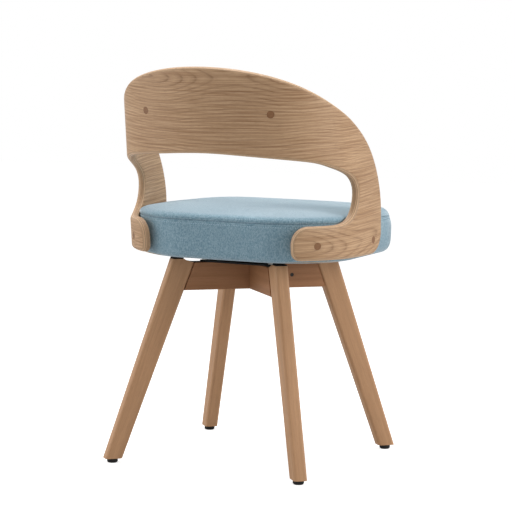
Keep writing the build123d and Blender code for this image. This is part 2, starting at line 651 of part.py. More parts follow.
def make_glide():
    """Tapered glide under a leg, round its nail."""
    sizes = ((GLIDE_BASE_DIAMETER, 0), (GLIDE_DIAMETER, GLIDE_TAPER_Z), (GLIDE_DIAMETER, LEG_FOOT_Z))
    rings = [Pos(0, 0, z) * RegularPolygon(diameter / 2, GLIDE_SIDES) for diameter, z in sizes]
    return Pos(GLIDE_CENTRE, 0, 0) * loft(rings, ruled=True) - glide_nail(NAIL_CLEARANCE)


def make_base():
    leg = make_leg()
    pad_ends = (LEG_SCOOP_END + 1, leg_radius(LEG_TOP_Z, LEG_FOOT_OUTER, LEG_TOP_OUTER) - LEG_PAD_INSET)
    pad = Pos(sum(pad_ends) / 2, 0, LEG_TOP_Z + LEG_PAD_THICKNESS / 2) * Box(
        pad_ends[1] - pad_ends[0], WOOD_THICKNESS - 2 * LEG_PAD_INSET, LEG_PAD_THICKNESS
    )
    for name, angle in DIAGONALS.items():
        nodes["leg_" + name] = [turned(Rot(0, 0, angle) * leg)]
    nodes["rail_upper"] = [turned(Rot(0, 0, 45) * make_rail(False, UPPER_NUT_SIDE))]
    nodes["rail_lower"] = [turned(Rot(0, 0, 135) * make_rail(True, -UPPER_NUT_SIDE))]
    repeated = {
        "glides": [make_glide()], "glide_nails": [glide_nail()], "leg_top_pads": [pad],
        "leg_studs": [joint_stud()], "leg_dowels": joint_dowels(),
    }
    for name, pieces in repeated.items():
        nodes[name] = [turned(Rot(0, 0, angle) * piece) for angle in DIAGONALS.values() for piece in pieces]
    nut_sides = (UPPER_NUT_SIDE, -UPPER_NUT_SIDE) * 2
    nodes["barrel_nuts"] = [
        turned(Rot(0, 0, angle) * barrel_nut(side)) for angle, side in zip(DIAGONALS.values(), nut_sides)
    ]


# ---------------------------------------------------------------- build
def write_nodes():
    os.makedirs("parts", exist_ok=True)
    for name, solids in nodes.items():
        flat = [solid for piece in solids for solid in piece.solids()]
        shape = flat[0] if len(flat) == 1 else Compound(flat)
        export_step(shape, f"parts/{name}.step")


make_base()
make_swivel()
make_seat()
make_shell()
make_back_pad()
write_nodes()
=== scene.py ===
from math import acos, atan2, cos, pi, radians, sin, tan

import bmesh
import bpy
import numpy as np
from bpy.props import FloatProperty, FloatVectorProperty, PointerProperty
from bpy.types import Operator, Panel, PropertyGroup
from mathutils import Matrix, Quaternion, Vector
from mathutils.geometry import delaunay_2d_cdt
from numpy.linalg import norm


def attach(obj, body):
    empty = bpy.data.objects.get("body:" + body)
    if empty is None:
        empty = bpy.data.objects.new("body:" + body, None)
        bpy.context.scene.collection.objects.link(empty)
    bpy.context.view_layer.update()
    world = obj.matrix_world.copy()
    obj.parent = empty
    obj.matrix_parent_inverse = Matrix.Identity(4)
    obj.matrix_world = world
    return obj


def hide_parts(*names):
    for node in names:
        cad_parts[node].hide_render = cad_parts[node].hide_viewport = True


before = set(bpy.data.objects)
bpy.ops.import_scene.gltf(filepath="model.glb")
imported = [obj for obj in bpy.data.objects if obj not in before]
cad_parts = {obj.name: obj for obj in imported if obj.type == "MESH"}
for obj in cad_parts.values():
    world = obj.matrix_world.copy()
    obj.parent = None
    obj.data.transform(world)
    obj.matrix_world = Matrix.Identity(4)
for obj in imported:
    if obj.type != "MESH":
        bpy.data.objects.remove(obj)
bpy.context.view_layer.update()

bl_info = {
    "name": "Swivel Dining Chair",
    "version": (1, 0, 0),
    "blender": (4, 5, 0),
    "location": "View3D > Sidebar > Chair",
    "description": "Dresses the packed swivel dining chair: shell, upholstery, finishes, studio",
    "category": "Object",
}

MM = 0.001

# The bent shell, in millimetres as the CAD builds it: three tangent arcs seen along its lean, and a
# flat outline of (distance along the bend, height) laid on them
SHELL_THICKNESS = 16.5
BACK_RADIUS = 313.0
BACK_HALF_ANGLE = 26.0
CORNER_RADIUS = 169.8
CORNER_END_ANGLE = 84.0
ARM_RADIUS = 1220.0
SHELL_BACK_Y = 223.0
SHELL_BACK_Z = 520.0
SHELL_LEAN = radians(7.5)
TOP_MIDDLE_Z = 760.3
WINDOW_MIDDLE_Z = 601.5
TOP_CURVE = ((115, 749.2), (187, 728.4), (273, 687.0), (385.5, 609.0), (423.5, 539.0))
ARM_FRONT_TOP = (429.5, 485)
ARM_FRONT_FOOT = (422.5, 405)
LOBE_CORNERS = (ARM_FRONT_FOOT, (159.5, 404.5), (159.5, 468.5))
LOBE_RADII = (48.0, 16.0, 36.0)
LOBE_SHOULDER = (244, 469.5)
WINDOW_FOOT_CURVE = ((284.5, 474.8), (309.0, 489.5))
WINDOW_FRONT = (327.0, 530.0)
WINDOW_HEAD_CURVE = ((318.5, 548.5), (297.0, 562.5))
WINDOW_CURVE_START = (240, 580.5)
WINDOW_CURVE = ((184, 590.2), (90, 597.5))
SCREWS = ((210.0, 432.7), (383.0, 433.5), (130.6, 676.0))  # two in an arm, one in half the back
PLUG_RADIUS = 7.0
PLUG_GAP = 0.15
PLUG_SINK = 1.2  # depth of the holes that show the CAD's plugs

# The oak's figure and plies, in metres
HEART_LEVELS = (0.758, 0.443)  # heights of the growth rings' hearts, in the back and the lobes
RING_PITCH = 0.0062
CUT_START, CUT_SLOPE = 0.20, 0.12  # from here forwards the hearts sink away from the face
PLY, FACE_PLY = 1.5 * MM, 0.75 * MM

# The back pad inside the shell
PAD_MARGIN = 17.0
PAD_BOTTOM_Z = 622.0
PAD_HALF_LENGTH = 246.0
PAD_CREST_DROP = 1.5
PAD_SHOULDER = (PAD_HALF_LENGTH - 26, TOP_CURVE[2][1] + 7)
PAD_FALL, PAD_FALL_RUN = np.array((0.86, -0.51)), 30
PAD_RADII = (14, 16)
PAD_GAP = 0.4  # between the pad and the shell
PAD_CROWN = (2.5, 18.0)  # rise of its middle, and how far in from its edge that builds up

# The seat's rounded square
SEAT_HALF_WIDTH = 224.0
SEAT_REAR = 165.0
SEAT_FRONT = -256.0
SEAT_RADII = (150.0, 150.0, 125.0, 125.0)  # two rear corners, two front corners
SEAM_Z = 471.5
TOP_CROWN_RUN = 45.0
FRONT_SLOPE = 7.0  # how far the top's edge leans in along the front,
FRONT_RUN = (40.0, 170.0)  # between these distances forward of the middle
FRONT_HEIGHTS = (448.0, 484.0)  # and between these heights,
FRONT_REACH = 20.0  # fading this far in from the edge
FRONT_SINK, FRONT_SINK_REACH = 0.6, 30.0  # the share of it by which the edge also sinks
SEAM_FILL, SEAM_FILL_BAND = 1.8, 2.0  # the front's seam stands out by this, this far up and down
STITCH_DROP = 6.5  # the sewn line under the seam
SEAT_SIDE = (  # inset, height: from the hidden underside up to the seam
    (26, 398.6), (26, 397.1), (21, 396.9), (16, 397.4), (12, 398.6), (8.6, 400.7), (5.8, 403.6),
    (3.5, 407.6), (1.8, 412.8), (0.8, 419), (0.3, 427), (0, 437), (0, 447), (0, 456), (0.15, 461.5),
    (0.55, 463.8), (0.9, 465), (0.6, 466.2), (0.5, 468.2), (0.9, 470.0), (2.8, 471.2),
)
SEAT_TOP_EDGE = (  # inset, rise above the seam: over the sewn edge onto the top
    (2.8, 0.3), (1.0, 1.3), (0.8, 3.2), (1.6, 5.8), (3.6, 8.2), (6.8, 10.2), (11, 11.7), (16, 12.8),
)
PAD_EDGE = (  # inset, level from the pad's back: round its border to the front
    (2.0, 0.0), (0.6, 1.6), (0.0, 4.6), (0.2, 8.2), (1.3, 11.8), (3.0, 13.3), (1.9, 14.6),
    (3.0, 17.2), (6.0, 19.6), (11.0, 21.0),
)
PAD_SEAM_DEPTH = 14.0
PAD_STITCH_INSET = 9.0

# Where the arms press on the seat
CLOTH_GAP = 0.4  # between the cloth and the inside of the arms
EDGE_GAP, EDGE_GAP_RUN = 2.5, 22.0  # more of it towards the arms' edges
PRESS_START = 130.0  # along the bend; the back stays clear of the seat
PRESS_REACH = 25.0  # points this far inside the shell are left out,
PRESS_LIMIT = 8.0  # and so are those this far inside the pressed surface
PRESS_SOFTNESS = 1.5
BULGE_SLOPE = 1.6  # how steeply the cloth comes out beside an arm

# Steps round the shell's eased edges, and steps between points
OUTER_STEPS, INNER_STEPS = 7, 4
OUTLINE_STEP = 4.0
CUSHION_STEP = 7.0
ARM_LOOP_STEP = 5.0
ROW_SHARE, RIM_SHARE = 0.87, 0.6  # of a step: from row to row, and clear of a rim
SHARP_ANGLE = radians(50)

# The cloth's simulation
CLOTH_FRAMES = 20
CLOTH_SETTINGS = {
    "use_pressure": True, "quality": 4, "tension_stiffness": 8.0, "compression_stiffness": 8.0,
    "bending_stiffness": 3.0,
}
SEAT_LOOSE = (3.0, 30.0)  # distances from the edge: pinned up to one, free from the other
PAD_LOOSE = (3.0, 26.0)

# Stitches
THREAD_THICKNESS = 0.9
LONGEST_STITCH = 12 * THREAD_THICKNESS
STITCH_SHARE = 0.78  # of the pitch
STITCH_RINGS = (  # place along it, size, lift in thread thicknesses
    (0.0, 0.5, -0.7), (0.18, 1.0, 0.1), (0.5, 1.0, 0.3), (0.82, 1.0, 0.1), (1.0, 0.5, -0.7),
)
RAY_OUT, RAY_DEEP = 20.0, 60.0  # where the lines that place them start

# The base
BASE_TURN = -2.5  # degrees, as the angles below
LEG_ANGLES = {
    "leg_rear_left": 45, "leg_rear_right": 135, "leg_front_right": 225, "leg_front_left": 315,
}
RAIL_ANGLES = {"rail_upper": 45, "rail_lower": 135}
LEG_RISE = 390.0
LEG_FOOT, LEG_HEAD = (299.0, 265.7), (166.9, 120.4)  # outer and inner side, from the middle
LEG_LEAN = atan2(0.5 * (sum(LEG_FOOT) - sum(LEG_HEAD)), LEG_RISE)

# The stage, in metres
SENSOR_WIDTH = 36.0  # millimetres, as lens sizes are
FLOOR_HALF = 7.0
FLOOR_LIFT = 0.75  # glow that takes the floor to white for the camera
WHITE = (1.0, 1.0, 1.0)
WHITE_RAYS = ("Camera", "Glossy", "Transmission")  # they meet white in place of the sky
LAMPS = {  # place, size, tone
    "right_lamp": ((-2.9, -0.2, 1.3), 1.8, (1.0, 0.985, 0.96)),
    "left_lamp": ((2.6, 1.4, 1.2), 1.8, (1.0, 0.985, 0.96)),
    "top_lamp": ((0.2, -0.3, 2.7), 2.0, (1.0, 0.99, 0.98)),
}

SEAT_BODY = "seat"


# ---- properties
class ChairShellSettings(PropertyGroup):
    easing: FloatProperty(
        name="Easing", description="Rounding of the sawn edges on the outer face",
        default=8.0 * MM, unit="LENGTH")
    inner_easing: FloatProperty(
        name="Inner easing", description="Rounding of the sawn edges on the inner face",
        default=4.5 * MM, unit="LENGTH")
    edge_step: FloatProperty(
        name="Edge step", description="Spacing of points along the sawn edge",
        default=3.5 * MM, unit="LENGTH")
    face_step: FloatProperty(
        name="Face step", description="Spacing of points inside the faces",
        default=11 * MM, unit="LENGTH")
    veneer: FloatVectorProperty(
        name="Veneer", description="Main tone of the oak veneer",
        subtype="COLOR", default=(0.462, 0.285, 0.157))
    latewood: FloatVectorProperty(
        name="Latewood", description="Tone of the dark growth lines",
        subtype="COLOR", default=(0.21, 0.105, 0.047))
    ply: FloatVectorProperty(
        name="Ply", description="Tone of the pale inner plies",
        subtype="COLOR", default=(0.77, 0.51, 0.31))
    plug: FloatVectorProperty(
        name="Plug", description="Tone of the plugs' end grain",
        subtype="COLOR", default=(0.22, 0.10, 0.038))


class ChairClothSettings(PropertyGroup):
    crown: FloatProperty(
        name="Crown", description="Rise of the seat's top above its seam",
        default=17.5 * MM, unit="LENGTH")
    swell: FloatProperty(
        name="Swell", description="Most that the filling may push the cloth out",
        default=4 * MM, unit="LENGTH")
    pressure: FloatProperty(
        name="Pressure", description="Pressure of the filling in the simulation", default=4.0)
    stitch_pitch: FloatProperty(
        name="Stitch pitch", description="Distance from stitch to stitch",
        default=4.6 * MM, unit="LENGTH")
    thread_pitch: FloatProperty(
        name="Thread pitch", description="Distance between the threads of the weave",
        default=2.0 * MM, unit="LENGTH")
    yarn: FloatVectorProperty(
        name="Yarn", description="Main tone of the cloth",
        subtype="COLOR", default=(0.20, 0.355, 0.46))
    fleck: FloatVectorProperty(
        name="Fleck", description="Tone of the pale fibres",
        subtype="COLOR", default=(0.40, 0.53, 0.60))
    shade: FloatVectorProperty(
        name="Shade", description="Tone of the dark fibres",
        subtype="COLOR", default=(0.085, 0.175, 0.235))


class ChairBaseSettings(PropertyGroup):
    wood: FloatVectorProperty(
        name="Wood", description="Main tone of the legs",
        subtype="COLOR", default=(0.50, 0.287, 0.155))
    grain: FloatVectorProperty(
        name="Grain", description="Tone of their grain lines",
        subtype="COLOR", default=(0.335, 0.172, 0.081))
    # The rails' tones are the legs' wood made darker and browner: painted shade for the shade under
    # the seat
    rail_wood_painted_shade: FloatVectorProperty(
        name="Rail wood", description="Main tone of the browner rails",
        subtype="COLOR", default=(0.37, 0.178, 0.084))
    rail_grain_painted_shade: FloatVectorProperty(
        name="Rail grain", description="Tone of the rails' grain lines",
        subtype="COLOR", default=(0.24, 0.105, 0.045))


class ChairStageSettings(PropertyGroup):
    eye: FloatVectorProperty(
        name="Eye", description="Camera position", subtype="TRANSLATION", unit="LENGTH",
        default=(-1.760, 3.892, 0.857))
    aim: FloatVectorProperty(
        name="Aim", description="Point the camera looks at", subtype="TRANSLATION", unit="LENGTH",
        default=(0.0, 0.0, 0.3898))
    roll: FloatProperty(
        name="Roll", description="Turn of the camera about its own axis",
        subtype="ANGLE", default=radians(0.80))
    lens: FloatProperty(name="Lens", description="Focal length in millimetres", default=155.2)
    shift: FloatVectorProperty(
        name="Shift", description="Camera shift, as a share of the frame",
        size=2, default=(0.0068, -0.0016))
    sky: FloatProperty(name="Sky", description="Strength of the even studio light", default=0.40)
    right_lamp: FloatProperty(
        name="Right lamp", description="Power of the large lamp on the picture's right",
        subtype="POWER", default=44)
    left_lamp: FloatProperty(
        name="Left lamp", description="Power of the large lamp on the picture's left",
        subtype="POWER", default=31)
    top_lamp: FloatProperty(
        name="Top lamp", description="Power of the lamp above the chair",
        subtype="POWER", default=52)


# ---- flat outlines
def clamped_curve(points, first_heading, last_heading, step):
    """Smooth curve through points with given end directions, as closely spaced points."""
    p = np.array(points, float)
    span = norm(np.diff(p, axis=0), axis=1)
    count = len(p)
    matrix = np.eye(count)
    right = np.zeros((count, 2))
    right[0] = np.array(first_heading) / norm(first_heading)
    right[-1] = np.array(last_heading) / norm(last_heading)
    for i in range(1, count - 1):
        before, after = span[i - 1], span[i]
        matrix[i, i - 1:i + 2] = after, 2 * (before + after), before
        right[i] = 3 * (after / before * (p[i] - p[i - 1]) + before / after * (p[i + 1] - p[i]))
    slopes = np.linalg.solve(matrix, right)
    curve = []
    for i in range(count - 1):
        steps = max(2, int(round(span[i] / step)))
        for s in np.arange(steps) / steps:
            a, b = (1 + 2 * s) * (1 - s) ** 2, s * (1 - s) ** 2
            c, d = s * s * (3 - 2 * s), s * s * (s - 1)
            first, last = a * p[i] + b * span[i] * slopes[i], d * span[i] * slopes[i + 1]
            curve.append(first + c * p[i + 1] + last)
    return curve + [p[-1]]


def rounded_path(corners, radii, step):
    """Straight runs with an arc at each inner corner, as closely spaced points."""
    corners = [np.array(c, float) for c in corners]
    path = [corners[0]]
    for before, corner, after, radius in zip(corners, corners[1:], corners[2:], radii):
        incoming = (before - corner) / norm(before - corner)
        outgoing = (after - corner) / norm(after - corner)
        half = 0.5 * acos(float(np.clip(incoming @ outgoing, -1, 1)))
        centre = corner + (incoming + outgoing) / norm(incoming + outgoing) * radius / sin(half)
        start, end = corner + incoming * radius / tan(half), corner + outgoing * radius / tan(half)
        first = atan2(*(start - centre)[::-1])
        turn = (atan2(*(end - centre)[::-1]) - first + pi) % (2 * pi) - pi
        steps = max(4, int(round(abs(turn) * radius / step)))
        for k in range(steps + 1):
            angle = first + turn * k / steps
            path.append(centre + radius * np.array((cos(angle), sin(angle))))
    return path + [corners[-1]]


def evenly_spaced(path, step):
    """The same closed path with its points evenly spaced, running counter-clockwise."""
    path = np.array(path)
    area = np.sum(path[:, 0] * np.roll(path[:, 1], -1) - path[:, 1] * np.roll(path[:, 0], -1))
    if area < 0:
        path = path[::-1]
    closed = np.vstack((path, path[:1]))
    along = np.concatenate(((0,), np.cumsum(norm(np.diff(closed, axis=0), axis=1))))
    count = int(round(along[-1] / step))
    stops = np.arange(count) / count * along[-1]
    return np.stack([np.interp(stops, along, closed[:, axis]) for axis in (0, 1)], axis=1)


def mirrored(half):
    """A closed outline from its right half, which starts and ends on the middle line."""
    half = np.array(half)
    return np.vstack((half, half[-2:0:-1] * (-1, 1)))


def shell_outline(step):
    """Flat outline of the bent shell: distance along the bend, height (mm)."""
    arm = np.subtract(ARM_FRONT_FOOT, ARM_FRONT_TOP)
    shoulder = np.subtract(LOBE_SHOULDER, LOBE_CORNERS[-1])
    window = np.subtract(WINDOW_CURVE_START, WINDOW_HEAD_CURVE[-1])
    up, back = (0, 1), (-1, 0)
    half = clamped_curve(((0, TOP_MIDDLE_Z), *TOP_CURVE, ARM_FRONT_TOP), (1, 0), arm, step)
    half += rounded_path((ARM_FRONT_TOP, *LOBE_CORNERS, LOBE_SHOULDER), LOBE_RADII, step)[1:]
    for points, first, last in (
        ((LOBE_SHOULDER, *WINDOW_FOOT_CURVE, WINDOW_FRONT), shoulder, up),
        ((WINDOW_FRONT, *WINDOW_HEAD_CURVE, WINDOW_CURVE_START), up, window),
        ((WINDOW_CURVE_START, *WINDOW_CURVE, (0, WINDOW_MIDDLE_Z)), window, back),
    ):
        half += clamped_curve(points, first, last, step)[1:]
    return evenly_spaced(mirrored(half), step)


def pad_outline(step):
    """Flat outline of the back pad, inside the shell's top edge."""
    crest = [(0, TOP_MIDDLE_Z - PAD_MARGIN)]
    crest += [(x, z - PAD_MARGIN - PAD_CREST_DROP) for x, z in TOP_CURVE[:2]]
    top = clamped_curve((*crest, PAD_SHOULDER), (1, 0), PAD_FALL, step)
    corner = PAD_SHOULDER + PAD_FALL * PAD_FALL_RUN
    corners = (PAD_SHOULDER, corner, (PAD_HALF_LENGTH, PAD_BOTTOM_Z), (0, PAD_BOTTOM_Z))
    return evenly_spaced(mirrored(top + rounded_path(corners, PAD_RADII, step)[1:]), step)


def seat_outline(step):
    """Plan outline of the seat."""
    corners = (
        (SEAT_HALF_WIDTH, SEAT_REAR), (-SEAT_HALF_WIDTH, SEAT_REAR),
        (-SEAT_HALF_WIDTH, SEAT_FRONT), (SEAT_HALF_WIDTH, SEAT_FRONT),
    )
    start = (SEAT_HALF_WIDTH, 0.0)
    return evenly_spaced(rounded_path((start, *corners, start), SEAT_RADII, step)[:-1], step)


def drawn_in(loop, inset):
    """A counter-clockwise loop moved inwards."""
    ahead = np.roll(loop, -1, axis=0) - np.roll(loop, 1, axis=0)
    inwards = np.stack((-ahead[:, 1], ahead[:, 0]), axis=1) / norm(ahead, axis=1)[:, None]
    return loop + inwards * inset


def distances(points, loop):
    """Distance of each point from a closed loop, and whether it lies inside."""
    a, b = loop, np.roll(loop, -1, axis=0)
    run = b - a
    best = np.full(len(points), np.inf)
    crossings = np.zeros(len(points), int)
    for start, end, along in zip(a, b, run):
        rel = points - start
        share = np.clip(rel @ along / (along @ along), 0, 1)
        best = np.minimum(best, norm(rel - share[:, None] * along, axis=1))
        spans = (start[1] > points[:, 1]) != (end[1] > points[:, 1])
        rise = end[1] - start[1] or 1e-12
        crossings += spans & (points[:, 0] < start[0] + (points[:, 1] - start[1]) * along[0] / rise)
    return best, crossings % 2 == 1


# ---- closed forms from an outline
def cap_triangles(rim, step, holes=()):
    """Points added inside a rim and the triangles over rim, points and round the holes."""
    low, high = rim.min(axis=0), rim.max(axis=0)
    xs = np.arange(low[0], high[0], step)
    ys = np.arange(low[1], high[1], step * ROW_SHARE)
    grid = np.array([(x + (row % 2) * step / 2, y) for row, y in enumerate(ys) for x in xs])
    away, inside = distances(grid, rim)
    keep = inside & (away > RIM_SHARE * step)
    for ring in holes:
        from_hole, within = distances(grid, ring)
        keep &= ~within & (from_hole > RIM_SHARE * step)
    points = np.vstack((rim, *holes, grid[keep]))
    edges, start = [], 0
    for ring in (rim, *holes):
        edges += [(start + i, start + (i + 1) % len(ring)) for i in range(len(ring))]
        start += len(ring)
    spots = [Vector(p) for p in points]
    found, _, faces, origins, _, _ = delaunay_2d_cdt(spots, edges, [], 0, 1e-6)
    index = [origin[0] for origin in origins]
    centres = np.array([sum((np.array(found[i]) for i in face), np.zeros(2)) / 3 for face in faces])
    _, good = distances(centres, rim)
    for ring in holes:
        good &= ~distances(centres, ring)[1]
    triangles = [tuple(index[i] for i in face) for face, fine in zip(faces, good) if fine]
    return points[len(rim):], without_slivers(points, triangles, set(map(frozenset, edges)))


def without_slivers(points, triangles, borders):
    """Leave out flat triangles just outside a border that already has its inner triangle."""
    def area(triangle):
        a, b, c = (points[i] for i in triangle)
        return abs((b[0] - a[0]) * (c[1] - a[1]) - (b[1] - a[1]) * (c[0] - a[0]))

    taken, kept = set(), []
    for triangle in sorted(triangles, key=area, reverse=True):
        sides = {frozenset(side) for side in zip(triangle, triangle[1:] + triangle[:1])} & borders
        if not sides & taken:
            taken |= sides
            kept.append(triangle)
    return kept


def closed_form(name, outline, profile, place, step, crown=(0.0, 1.0), holes=(), hole_depth=0.0):
    """Closed mesh round a flat outline. The profile runs from the first cap's rim to the last's as
    (inset, level), and place puts (x, y, level) in space. The crown is the rise of the last cap's
    middle and how far in from its rim that builds up. Holes go into the first cap.
    Each vertex keeps its flat place, in metres, in the attribute 'sheet'."""
    count, rings = len(outline), []
    for inset, level in profile:
        rings.append(np.column_stack((drawn_in(outline, inset), np.full(count, level))))
    flat = [*np.vstack(rings)]
    faces = []
    for start in range(0, len(flat) - count, count):
        for i in range(count):
            j = (i + 1) % count
            faces.append((start + i, start + j, start + count + j, start + count + i))
    for which, ring in ((0, rings[0]), (len(rings) - 1, rings[-1])):
        rim, level = ring[:, :2], ring[0, 2]
        openings = holes if which == 0 else ()
        inner, triangles = cap_triangles(rim, step, openings)
        top, run = crown if which else (0.0, 1.0)
        lift = top * (1 - np.exp(-distances(inner, rim)[0] / run))
        base = len(flat)
        flat += [np.array((*p, level + rise)) for p, rise in zip(inner, lift)]
        index = [*range(which * count, (which + 1) * count), *range(base, base + len(inner))]
        faces += [tuple(index[i] for i in triangle) for triangle in triangles]
        start = base
        for hole in openings:
            size, floor = len(hole), len(flat)
            flat += [np.array((*p, level + hole_depth)) for p in (*hole, hole.mean(axis=0))]
            for i in range(size):
                j = (i + 1) % size
                faces.append((start + i, start + j, floor + j, floor + i))
                faces.append((floor + i, floor + j, floor + size))
            start += size
    flat = np.array(flat)
    mesh = bpy.data.meshes.new(name)
    mesh.from_pydata([place(*p) for p in flat], [], faces)
    sheet = mesh.attributes.new("sheet", "FLOAT_VECTOR", "POINT")
    sheet.data.foreach_set("vector", (flat * MM).ravel())
    form = bmesh.new()
    form.from_mesh(mesh)
    bmesh.ops.recalc_face_normals(form, faces=form.faces)
    form.to_mesh(mesh)
    form.free()
    mesh.shade_smooth()
    mesh.set_sharp_from_angle(angle=SHARP_ANGLE)
    return linked(name, mesh)


def plan_arcs():
    """The bend seen along its lean: (start, start angle, radius, centre) of each arc."""
    arcs, start, angle, centre = [], 0.0, 0.0, np.array((0.0, -BACK_RADIUS))
    radii = (BACK_RADIUS, CORNER_RADIUS, ARM_RADIUS, ARM_RADIUS)
    ends = map(radians, (BACK_HALF_ANGLE, CORNER_END_ANGLE, 180.0))
    for radius, next_radius, end in zip(radii, radii[1:], ends):
        arcs.append((start, angle, radius, centre))
        start += radius * (end - angle)
        angle = end
        centre = centre + (radius - next_radius) * np.array((sin(angle), cos(angle)))
    return arcs


PLAN_ARCS = plan_arcs()


def back_y(z):
    """How far back the leaning sheet's outer face lies at a height."""
    return SHELL_BACK_Y + tan(SHELL_LEAN) * (z - SHELL_BACK_Z)


def on_shell(along, z, depth):
    """Point of the flat pattern bent onto the shell at a depth inside its outer face, in metres."""
    start, angle, radius, centre = [arc for arc in PLAN_ARCS if arc[0] <= abs(along)][-1]
    turn = angle + (abs(along) - start) / radius
    x = centre[0] + (radius - depth) * sin(turn)
    y = centre[1] + (radius - depth) * cos(turn)
    return Vector((-x if along > 0 else x, back_y(z) + y / cos(SHELL_LEAN), z)) * MM


def off_shell(points):
    """The reverse for an array of places (mm): along, depth, arc centre, and the place from it."""
    across = (points[:, 1] - back_y(points[:, 2])) * cos(SHELL_LEAN)
    seen = np.column_stack((np.abs(points[:, 0]), across))
    along, depth, taken = np.zeros(len(seen)), np.zeros(len(seen)), np.zeros(len(seen), bool)
    middle = np.zeros_like(seen)
    ends = (*(arc[1] for arc in PLAN_ARCS[1:]), pi)
    for (start, angle, radius, centre), end in zip(PLAN_ARCS, ends):
        x, y = (seen - centre).T
        turn = np.arctan2(x, y)
        here = ~taken & (turn <= end)
        along[here] = start + radius * (turn[here] - angle)
        depth[here] = radius - np.hypot(x, y)[here]
        middle[here] = centre
        taken |= here
    return along, depth, middle, seen - middle


def in_space(x, y, z):
    """Point of the seat's own frame, in metres."""
    return Vector((x, y, z)) * MM


def plug_rings(segments=28):
    """Rims of the plugged holes on the flat pattern, round once they are bent onto the shell."""
    rings = []
    up = Vector((0.0, tan(SHELL_LEAN), 1.0))
    turns = np.arange(segments) / segments * 2 * pi
    for along, z in [(side * along, z) for along, z in SCREWS for side in (1, -1)]:
        level = (on_shell(along + 1, z, 0) - on_shell(along - 1, z, 0)).normalized()
        rise = level.cross(up).normalized().cross(level)
        height = (PLUG_RADIUS + PLUG_GAP) * np.sin(turns) * rise.z
        run = (PLUG_RADIUS + PLUG_GAP) * np.cos(turns) - height * up.dot(level)
        rings.append(np.column_stack((along + run, z + height)))
    return rings


# ---- node materials
def by_axis(value):
    """A value for each of three axes or channels."""
    return (value,) * 3 if isinstance(value, float) else value


def toned(tone, factors):
    """A colour made paler or darker."""
    return tuple(min(1.0, part * factor) for part, factor in zip(by_axis(tone), by_axis(factors)))


class Nodes:
    """A node tree being put together; every call adds a node and gives its main output."""

    def __init__(self, tree):
        self.tree = tree

    def feed(self, socket, value):
        if isinstance(value, bpy.types.NodeSocket):
            self.tree.links.new(value, socket)
        elif socket.type == "RGBA":
            socket.default_value = (*value, 1.0)
        else:
            socket.default_value = value

    def add(self, kind, inputs, output=0, **options):
        made = self.tree.nodes.new("ShaderNode" + kind)
        for option, value in options.items():
            setattr(made, option, value)
        for key, value in inputs.items():
            self.feed(made.inputs[key], value)
        return made.outputs[output]

    def place(self):
        """Object coordinates, in metres in the shared frame."""
        return self.add("TexCoord", {}, "Object")

    def sheet(self):
        """The flat place that a bent or padded piece's points carry."""
        return self.add("Attribute", {}, "Vector", attribute_name="sheet")

    def split(self, vector):
        return self.add("SeparateXYZ", {0: vector}, slice(None))

    def math(self, operation, *values):
        return self.add("Math", dict(enumerate(values)), operation=operation)

    def plus(self, a, b):
        return self.math("ADD", a, b)

    def times(self, a, b):
        return self.math("MULTIPLY", a, b)

    def grain(self, vector, across, detail=3.0, rough=0.55):
        """Noise from 0 to 1 with so many features to the metre along each axis (or along all)."""
        fine = self.add("VectorMath", {0: vector, 1: by_axis(across)}, operation="MULTIPLY")
        return self.add("TexNoise", {0: fine, "Scale": 1.0, "Detail": detail, "Roughness": rough})

    def ramp(self, share, *stops):
        """Map a share through (place, tone) stops; a tone is a grey or a colour."""
        colour = self.add("ValToRGB", {0: share})
        elements = colour.node.color_ramp.elements
        while len(elements) < len(stops):
            elements.new(0.5)
        for element, (where, tone) in zip(elements, stops):
            element.position = where
            element.color = (*by_axis(tone), 1)
        return colour

    def mix(self, share, a, b):
        return self.add("Mix", {0: share, 6: a, 7: b}, 2, data_type="RGBA")

    def tint(self, colour, share, strength, tone):
        return self.mix(self.times(share, strength), colour, tone)

    def relief(self, height, distance, strength, **under):
        """Bump from a height of 0 to 1 and its depth in metres."""
        inputs = {"Height": height, "Distance": distance, "Strength": strength, **under}
        return self.add("Bump", inputs)


class Finish(Nodes):
    """A procedural material."""

    def __init__(self, name, **sockets):
        self.material = bpy.data.materials.new(name)
        self.material.use_nodes = True
        super().__init__(self.material.node_tree)
        self.finish(**sockets)

    def finish(self, **sockets):
        """Feed the shader's sockets and give the material."""
        for socket, value in sockets.items():
            self.feed(self.tree.nodes["Principled BSDF"].inputs[socket.replace("_", " ")], value)
        return self.material


def streaks(look, vector, length, width, low, high, detail=3.0):
    """Long thin streaks along X of a given length and width in metres, from 0 to 1."""
    noise = look.grain(vector, (1 / length, 1 / width, 1 / width), detail=detail, rough=0.6)
    return look.ramp(noise, (low, 0.0), (high, 1.0))


